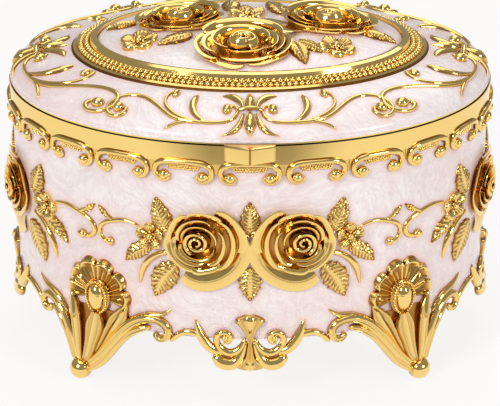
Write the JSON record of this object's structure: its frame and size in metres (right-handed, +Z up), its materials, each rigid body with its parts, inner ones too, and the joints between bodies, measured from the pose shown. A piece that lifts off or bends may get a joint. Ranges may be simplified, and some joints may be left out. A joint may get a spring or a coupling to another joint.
{
  "type": "ballerina jewellery box",
  "caption": "Oval footed jewellery box with enamelled walls and cast gold roses; its hinged lid opens on a tray and a wind-up dancer who turns to a tune.",
  "frame": {"origin": "under the middle of the box, on the surface the feet stand on", "axes": "+Z up, +X to the right seen from the front, front with the thumb tab at -Y"},
  "size_m": [0.149, 0.1226, 0.0994],
  "materials": {
    "pink_enamel": "pearl enamel, glossy",
    "polished_gold": "polished gold plate",
    "base_paint": "satin gold paint",
    "steel": "bright steel",
    "brass": "brass",
    "cast_bed": "zinc plated casting",
    "flock": "rose flock",
    "mirror_glass": "silvered glass",
    "stage_mirror": "polished disc",
    "doll_plastic": "moulded figure",
    "tulle": "stiff net",
    "fan_plastic": "moulded fan"
  },
  "bodies": {
    "box": {"body_shell": "pink_enamel", "rim_band": "polished_gold", "scroll_frieze": "polished_gold", "front_rose_spray": "polished_gold", "rear_rose_spray": "polished_gold", "left_rose_spray": "polished_gold", "right_rose_spray": "polished_gold", "foot_front_left": "polished_gold", "foot_front_right": "polished_gold", "foot_rear_left": "polished_gold", "foot_rear_right": "polished_gold", "front_apron": "polished_gold", "rear_apron": "polished_gold", "left_apron": "polished_gold", "right_apron": "polished_gold", "base_plate": "base_paint", "base_plate_screws": "steel", "tray": "flock", "stage_ring": "polished_gold", "movement_bedplate": "cast_bed", "movement_screws": "steel", "comb": "steel", "comb_block": "cast_bed", "comb_screws": "steel", "cylinder_bracket": "steel", "governor_bracket": "steel", "stop_pin_bush": "brass", "hinge_leaf_body": "brass", "hinge_pin": "steel"},
    "lid": {"lid_lip": "polished_gold", "lid_shell": "pink_enamel", "lid_lining": "flock", "mirror": "mirror_glass", "bead_frame": "polished_gold", "lid_panel": "pink_enamel", "lid_tab": "polished_gold", "lid_vines": "polished_gold", "lid_roses": "polished_gold", "hinge_leaf_lid": "brass"},
    "stage_train": {"spring_barrel": "brass", "great_wheel": "brass", "stage_spindle": "steel", "stage_disc": "stage_mirror", "dancer": "doll_plastic", "dancer_skirt": "tulle"},
    "key": {"key_arbor": "steel", "winding_key": "brass"},
    "cylinder_train": {"cylinder_arbor": "steel", "music_cylinder": "brass"},
    "fan": {"governor_fan": "fan_plastic"},
    "stop": {"stop_pin": "steel"}
  },
  "joints": [
    {"name": "lid_hinge", "type": "hinge", "parent": "box", "child": "lid", "pos_m": [0, 0.0591, 0.08015], "axis": [-1, 0, 0], "range_deg": [0, 100]},
    {"name": "dancer_spin", "type": "hinge", "parent": "box", "child": "stage_train", "pos_m": [0, 0, 0.048], "axis": [0, 0, 1], "continuous": true},
    {"name": "key_turn", "type": "hinge", "parent": "box", "child": "key", "pos_m": [0, 0, 0.02], "axis": [0, 0, 1], "continuous": true},
    {"name": "cylinder_turn", "type": "hinge", "parent": "box", "child": "cylinder_train", "pos_m": [0, -0.024, 0.0403], "axis": [0, -1, 0], "continuous": true},
    {"name": "fan_turn", "type": "hinge", "parent": "box", "child": "fan", "pos_m": [0.00626, -0.04, 0.0403], "axis": [0, -1, 0], "continuous": true},
    {"name": "stop_rise", "type": "slide", "parent": "box", "child": "stop", "axis": [0, 0, 1], "range_m": [0, 0.004]}
  ],
  "couplings": [
    {"joint": "key_turn", "follows": "dancer_spin", "ratio": 1},
    {"joint": "cylinder_turn", "follows": "dancer_spin", "ratio": 4},
    {"joint": "fan_turn", "follows": "dancer_spin", "ratio": -12.8},
    {"joint": "stop_rise", "follows": "lid_hinge", "m_per_rad": 0.00229}
  ]
}
